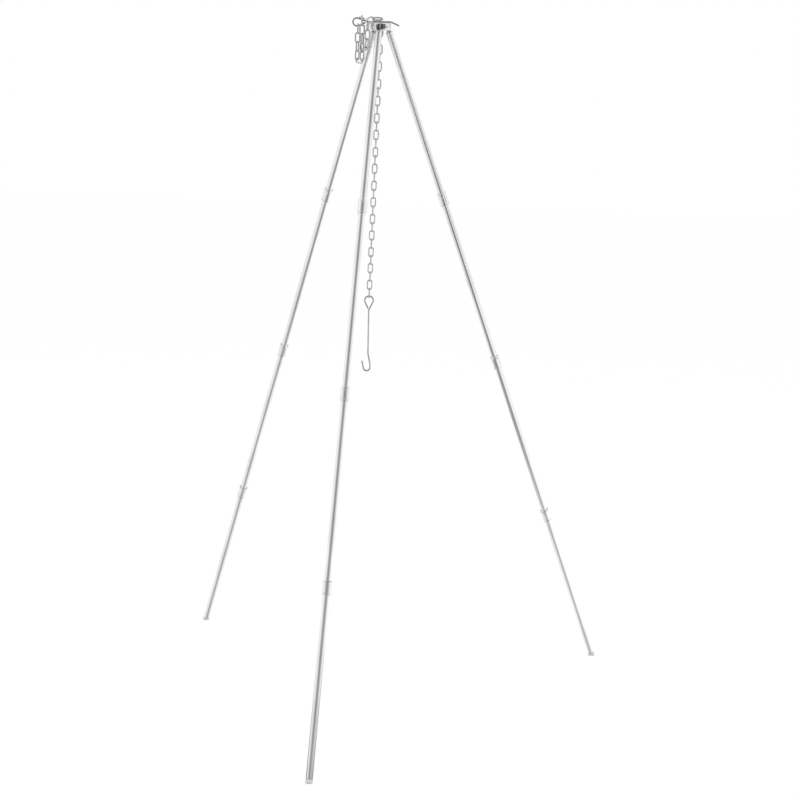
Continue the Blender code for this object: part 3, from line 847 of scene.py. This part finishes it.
# The link over the eye's upper wire, and the tops of the strands that hang from its front and back end
def layOverEye():
    upper = math.asin(lockingPin["eyeRadius"] / (pinEye - pinNeck).length)
    slope = upper + math.atan2(pinEye.z, pinNeck.x - pinEye.x)
    way = Vector((-math.cos(slope), 0.0, math.sin(slope)))
    up = Vector((math.sin(slope), 0.0, math.cos(slope)))
    spot = pinNeck + way * ((spare["overEye"] + pinNeck.x) / math.cos(slope))
    link = newLink(spot + up * seat, (0.0, 1.0, 0.0), way)
    lift = Vector((0.0, 0.0, (loose + spare["slack"]) / math.cos(slope)))
    return link, link["start"] + lift, link["end"] + lift


# The outer loop hangs from the eye's lower wire and from the front end of the link over the eye
def layOuterLoop(frontTop):
    slide, counts = spare["eyeSlide"], spare["outerCounts"]
    drop = math.sqrt(lockingPin["eyeRadius"] ** 2 - slide ** 2)
    eyeTop = Vector((pinEye.x + slide, 0.0, pinEye.z - drop + seat + spare["eyeSlack"]))
    eyeLow, frontLow = lowerEnds(eyeTop, frontTop, counts, 2 * (linkHalf - joined))
    turn = heading(frontLow - eyeLow) + 90
    way = (frontLow - eyeLow).normalized()
    level = Vector((way.y, -way.x, 0.0))
    links = straightRun(eyeTop, eyeLow, counts[0], 90.0, turn)
    links.append(newLink((eyeLow + frontLow) / 2, way, way.cross(level)))
    links += reversed(straightRun(frontTop, frontLow, counts[1], 90.0, turn))
    return links


# The inner loop hangs from the back end of the link over the eye and from the link beside the hub
def layInnerLoop(backTop, first):
    counts = spare["innerCounts"]
    backLow, firstLow = lowerEnds(backTop, first["start"], counts, 2 * linkHalf)
    turn = heading(firstLow - backLow)
    way = (firstLow - backLow).normalized()
    middle = (backLow + firstLow) / 2 + Vector((0.0, 0.0, joined))
    links = straightRun(backTop, backLow, counts[0], 90.0, turn)
    links.append(newLink(middle, way, (-way.y, way.x, 0.0)))
    links += reversed(straightRun(first["start"], firstLow, counts[1], heading(first["across"]), turn))
    return links


hanging = layHanging()
overRod, innerFirst = layOverRod()
overEye, frontTop, backTop = layOverEye()
buildChain("hanging_chain_top", "chain_top_links", hanging[:chain["top"]])
for group in range(chain["groups"]):
    begin = chain["top"] + group * chain["group"]
    stop = chain["hanging"] if group == chain["groups"] - 1 else begin + chain["group"]
    buildChain("hanging_chain_%d" % (group + 1), "chain_links_%d" % (group + 1), hanging[begin:stop])
buildChain("spare_links_over_rod", "spare_chain_over_rod", overRod)
buildChain("spare_link_over_eye", "spare_chain_over_eye", [overEye])
buildChain("spare_loop_outer", "spare_chain_outer_loop", layOuterLoop(frontTop))
buildChain("spare_loop_inner", "spare_chain_inner_loop", layInnerLoop(backTop, innerFirst))
print("chain made")


# A teardrop eye: from the free end, which closes on the neck, round to where the shank begins
def eyeRun(settings):
    neck, centre = Vector(settings["neck"]), Vector(settings["eye"])
    gap = centre - neck
    half = math.degrees(math.asin(settings["eyeRadius"] / gap.length))
    base = math.degrees(math.atan2(gap.z, gap.x))
    arc = arcPoints((centre.x, centre.z), settings["eyeRadius"], base + 90 + half, base - 90 - half,
                    bentWire["eyePoints"])
    run = [Vector((x, 0.0, z)) for x, z in arc]
    return [neck + (run[0] - neck) * settings["closing"]] + run


# The eye with its shank, whose corners are rounded
def eyeAndShank(settings):
    eye = eyeRun(settings)
    corners = [eye[-1]] + [Vector(place) for place in settings["shank"]]
    return eye + roundedRun(corners, bentWire["cornerReach"], bentWire["cornerParts"])[1:]


def buildWirePiece(name, node, run, place, material):
    mesh = wireMesh(name, [run], bentWire["radius"], bentWire["sides"], False)
    shape = bmesh.new()
    shape.from_mesh(mesh)
    softenEdges(shape, bentWire["endAngle"], bentWire["endReach"], 3)
    finishPiece(name, toMesh(shape, name, place), node, material, bentWire["sharpAngle"])


# Hook: places are measured from where its eye sits in the last link; the J turns up to its tip
potHook = {"neck": (-0.0003, 0.0, -0.0252), "eye": (0.0, 0.0, -0.0076), "eyeRadius": 0.0076, "closing": 0.22,
           "shank": ((-0.0003, 0.0, -0.0252), (-0.0004, 0.0, -0.1025), (0.0023, 0.0, -0.1160),
                     (0.0034, 0.0, -0.1225), (0.0034, 0.0, -0.1280)),
           "bendCentre": (-0.0024, -0.1280), "bendRadius": 0.0058, "bendTurn": -166.7, "bendPoints": 37,
           "tip": (-0.0112, 0.0, -0.1160)}


def hookRun():
    arc = arcPoints(potHook["bendCentre"], potHook["bendRadius"], 0.0, potHook["bendTurn"],
                    potHook["bendPoints"])
    return eyeAndShank(potHook)[:-1] + [Vector((x, 0.0, z)) for x, z in arc] + [Vector(potHook["tip"])]


hookTop = hanging[-1]["end"] + Vector((0.0, 0.0, seat))
buildWirePiece("rod_with_eye", "locking_pin", eyeAndShank(lockingPin), pinFrame, pinMetal)
buildWirePiece("pot_hook", "hook", hookRun(), pinFrame @ Matrix.Translation(hookTop), hookMetal)
print("pin and hook made")


# Floor, light and camera
def vectorNode(tree, kind, source, other=(0.0, 0.0, 0.0)):
    made = tree.nodes.new("ShaderNodeVectorMath")
    made.operation = kind
    made.inputs[1].default_value = other
    tree.links.new(source, made.inputs[0])
    return made.outputs["Value" if kind in ("DOT_PRODUCT", "LENGTH") else "Vector"]


# The way out from the object, turned from its front towards its right and raised, in degrees
def outward(turn, rise=0.0):
    turn, rise = math.radians(turn), math.radians(rise)
    return Vector((math.sin(turn) * math.cos(rise), -math.cos(turn) * math.cos(rise), math.sin(rise)))


# The level way to the right for someone who looks at the object from the given turn
def rightward(turn):
    return Vector((math.cos(math.radians(turn)), math.sin(math.radians(turn)), 0.0))


# How well a level direction faces the given turn: 1 straight on, fading to 0 at a right angle
def lobe(tree, unit, turn, power):
    facing = vectorNode(tree, "DOT_PRODUCT", unit, outward(turn))
    return mathNode(tree, "POWER", mathNode(tree, "MAXIMUM", facing, 0.0), power)


# The level part of a vector, and the same with unit length
def levelParts(tree, source):
    flat = vectorNode(tree, "MULTIPLY", source, (1.0, 1.0, 0.0))
    return flat, vectorNode(tree, "NORMALIZE", flat)


# The polished metal mirrors the floor with a fan of shade before the left and the right foot. A fan's depth
# and power change from the foot to its reach, and its right side is sharper
floorLook = {"half": 9.0, "drop": 0.0004, "paint": (0.92, 0.92, 0.92), "roughness": 0.9, "glow": 0.9,
             "sideEnds": (-0.8, 1.4), "sideTones": (0.90, 1.12), "sideBlend": 0.1}
footShades = {"left": {"turn": 25.0, "reach": 2.05, "powers": (2.3, 5.3), "depths": (0.56, 0.80),
                       "end": 2.8, "fade": 0.8, "sharper": 1.6},
              "right": {"turn": 12.5, "reach": 2.7, "powers": (1.6, 17.0), "depths": (0.52, 0.96),
                        "end": 12.0, "fade": 0.8, "sharper": 1.1}}


def footShade(tree, coords, side, settings):
    foot = (legFrame(legTurns[side]) @ Matrix.Translation((0.0, 0.0, -leg["end"]))).translation
    fromFoot = vectorNode(tree, "SUBTRACT", coords.outputs["Object"], (foot.x, foot.y, 0.0))
    flat, unit = levelParts(tree, fromFoot)
    far = vectorNode(tree, "LENGTH", flat)
    reach, blend = settings["reach"], floorLook["sideBlend"]
    depth = ramp(tree, far, (0.0, reach), settings["depths"])
    power = ramp(tree, far, (0.0, reach), settings["powers"])
    aside = vectorNode(tree, "DOT_PRODUCT", unit, rightward(settings["turn"]))
    power = mathNode(tree, "MULTIPLY", power, ramp(tree, aside, (-blend, blend), (1.0, settings["sharper"])))
    fade = ramp(tree, far, (settings["end"], settings["end"] + settings["fade"]), (1.0, 0.0))
    depth = mathNode(tree, "MULTIPLY", depth, fade)
    return mathNode(tree, "MULTIPLY", depth, lobe(tree, unit, settings["turn"], power))


def mixShaders(tree, factor, first, second):
    made = tree.nodes.new("ShaderNodeMixShader")
    tree.links.new(factor, made.inputs["Fac"])
    tree.links.new(first, made.inputs[1])
    tree.links.new(second, made.inputs[2])
    return made.outputs["Shader"]


# A pale floor, seen white by the camera; the metal mirrors it with its shade
def buildFloor():
    shape = bmesh.new()
    bmesh.ops.create_grid(shape, x_segments=4, y_segments=4, size=floorLook["half"])
    mesh = toMesh(shape, "floor", Matrix.Translation((0.0, 0.0, -floorLook["drop"])))
    floor = bpy.data.objects.new("floor", mesh)
    scene.collection.objects.link(floor)
    paint = bpy.data.materials.new("floor_paint")
    paint.use_nodes = True
    tree = paint.node_tree
    matte = tree.nodes["Principled BSDF"]
    matte.inputs["Base Color"].default_value = (*floorLook["paint"], 1.0)
    matte.inputs["Roughness"].default_value = floorLook["roughness"]
    seen = tree.nodes.new("ShaderNodeLightPath")
    coords = tree.nodes.new("ShaderNodeTexCoord")
    shades = [footShade(tree, coords, side, settings) for side, settings in footShades.items()]
    lit = mathNode(tree, "SUBTRACT", 1.0, mathNode(tree, "MAXIMUM", *shades))
    # Seen in the metal, the floor is also painted dimmer on the left and brighter on the right
    sideways = axisOf(tree, coords.outputs["Object"], "X")
    tone = ramp(tree, sideways, floorLook["sideEnds"], floorLook["sideTones"])
    mirror = tree.nodes.new("ShaderNodeEmission")
    tree.links.new(mathNode(tree, "MULTIPLY", lit, tone), mirror.inputs["Strength"])
    glow = tree.nodes.new("ShaderNodeEmission")
    share = mathNode(tree, "MULTIPLY", seen.outputs["Is Camera Ray"], floorLook["glow"])
    forCamera = mixShaders(tree, share, matte.outputs["BSDF"], glow.outputs["Emission"])
    forMetal = mixShaders(tree, seen.outputs["Is Glossy Ray"], forCamera, mirror.outputs["Emission"])
    tree.links.new(forMetal, tree.nodes["Material Output"].inputs["Surface"])
    mesh.materials.append(paint)


# What the metal mirrors of the room: a dim side behind the camera that clears up high, a weaker one behind
# the object, and a dark level band for the hub's front. Rises are the Z part of a direction
roomLook = {"white": 0.98, "dimTurn": 12.0, "dimPower": 2.0, "dimStart": (-0.05, -0.02),
            "dimRises": (0.25, 0.6), "dimDepths": (0.68, 0.74), "highRises": (0.72, 0.86), "highLeft": 0.15,
            "behindTurn": 192.0, "behindPower": 3.0, "behind": 0.45,
            "bandTurn": 17.0, "bandRises": (-0.035, 0.045), "bandFade": 0.015, "bandEnds": (60.0, 58.0),
            "bandCore": (26.0, 18.0), "bandDepths": (0.84, 0.95)}


# The dark level band: soft above and below, ending at both sides, and darkest round its middle
def roomBand(tree, rise, unit):
    (low, high), fade = roomLook["bandRises"], roomLook["bandFade"]
    level = mathNode(tree, "MULTIPLY", ramp(tree, rise, (low - fade, low), (0.0, 1.0)),
                     ramp(tree, rise, (high + fade, high), (0.0, 1.0)))
    ahead = lobe(tree, unit, roomLook["bandTurn"], 1.0)
    ends = [math.cos(math.radians(turn)) for turn in roomLook["bandEnds"]]
    core = [math.cos(math.radians(turn)) for turn in roomLook["bandCore"]]
    sides = mathNode(tree, "MULTIPLY", ramp(tree, ahead, ends, (0.0, 1.0)),
                     ramp(tree, ahead, core, roomLook["bandDepths"]))
    return mathNode(tree, "MULTIPLY", level, sides)


# The dim side behind the camera and the weaker one behind the object
def roomSides(tree, rise, unit):
    depth = mathNode(tree, "MULTIPLY", ramp(tree, rise, roomLook["dimRises"], roomLook["dimDepths"]),
                     ramp(tree, rise, roomLook["dimStart"], (0.0, 1.0)))
    clearing = ramp(tree, rise, roomLook["highRises"], (1.0, roomLook["highLeft"]))
    depth = mathNode(tree, "MULTIPLY", depth, clearing)
    dim = mathNode(tree, "MULTIPLY", depth, lobe(tree, unit, roomLook["dimTurn"], roomLook["dimPower"]))
    behind = mathNode(tree, "MULTIPLY", roomLook["behind"],
                      lobe(tree, unit, roomLook["behindTurn"], roomLook["behindPower"]))
    return mathNode(tree, "MAXIMUM", dim, behind)


# The room is white all round, and only the metal sees its dim parts
def buildRoom():
    room = bpy.data.worlds.new("room")
    scene.world = room
    room.use_nodes = True
    tree = room.node_tree
    back = tree.nodes["Background"]
    coords = tree.nodes.new("ShaderNodeTexCoord")
    glossy = tree.nodes.new("ShaderNodeLightPath").outputs["Is Glossy Ray"]
    rise = axisOf(tree, coords.outputs["Generated"], "Z")
    unit = levelParts(tree, coords.outputs["Generated"])[1]
    shade = mathNode(tree, "MAXIMUM", roomSides(tree, rise, unit), roomBand(tree, rise, unit))
    clear = mathNode(tree, "SUBTRACT", 1.0, mathNode(tree, "MULTIPLY", shade, glossy))
    white = mathNode(tree, "SUBTRACT", 1.0, mathNode(tree, "MULTIPLY", glossy, 1.0 - roomLook["white"]))
    tree.links.new(mathNode(tree, "MULTIPLY", white, clear), back.inputs["Color"])
    back.inputs["Strength"].default_value = 1.0


# Two soft lamps, hidden from the metal, round a point at mid height
lampTarget = Vector((0.0, 0.0, 0.6))
lamps = {"soft_left": {"turn": -65.0, "rise": 40.0, "distance": 3.2, "side": 1.6, "power": 22.0},
         "soft_top": {"turn": 120.0, "rise": 75.0, "distance": 3.0, "side": 2.0, "power": 22.0}}


def buildLamp(name, settings):
    lamp = bpy.data.lights.new(name, "AREA")
    lamp.shape = "SQUARE"
    lamp.size = settings["side"]
    lamp.energy = settings["power"]
    light = bpy.data.objects.new(name, lamp)
    scene.collection.objects.link(light)
    way = outward(settings["turn"], settings["rise"])
    light.location = lampTarget + way * settings["distance"]
    light.rotation_euler = way.to_track_quat("Z", "Y").to_euler()
    light.visible_glossy = False


# The view of the photograph, fitted to the joints of the three legs
view = {"turn": 12.126, "rise": 12.312, "roll": 0.944, "distance": 2.9007, "aimHeight": 0.5278,
        "aimRight": -0.0076, "focalPixels": 1625.4, "widthPixels": 800, "sensor": 36.0, "shift": 0.0375,
        "near": 0.05, "far": 60.0}


def buildCamera():
    roll = math.radians(view["roll"])
    back = outward(view["turn"], view["rise"])
    right = rightward(view["turn"])
    up = back.cross(right)
    tiltedRight = right * math.cos(roll) + up * math.sin(roll)
    tiltedUp = up * math.cos(roll) - right * math.sin(roll)
    aim = Vector((hubAxis.x, hubAxis.y, view["aimHeight"])) + right * view["aimRight"]
    lens = bpy.data.cameras.new("camera")
    lens.sensor_width = view["sensor"]
    lens.lens = view["focalPixels"] / view["widthPixels"] * view["sensor"]
    lens.shift_x = view["shift"]
    lens.clip_start = view["near"]
    lens.clip_end = view["far"]
    camera = bpy.data.objects.new("camera", lens)
    scene.collection.objects.link(camera)
    place = Matrix((tiltedRight, tiltedUp, back)).transposed().to_4x4()
    camera.matrix_world = Matrix.Translation(aim + back * view["distance"]) @ place
    scene.camera = camera


buildFloor()
buildRoom()
for name, settings in lamps.items():
    buildLamp(name, settings)
buildCamera()
scene.view_settings.view_transform = "Standard"
print("stage made")
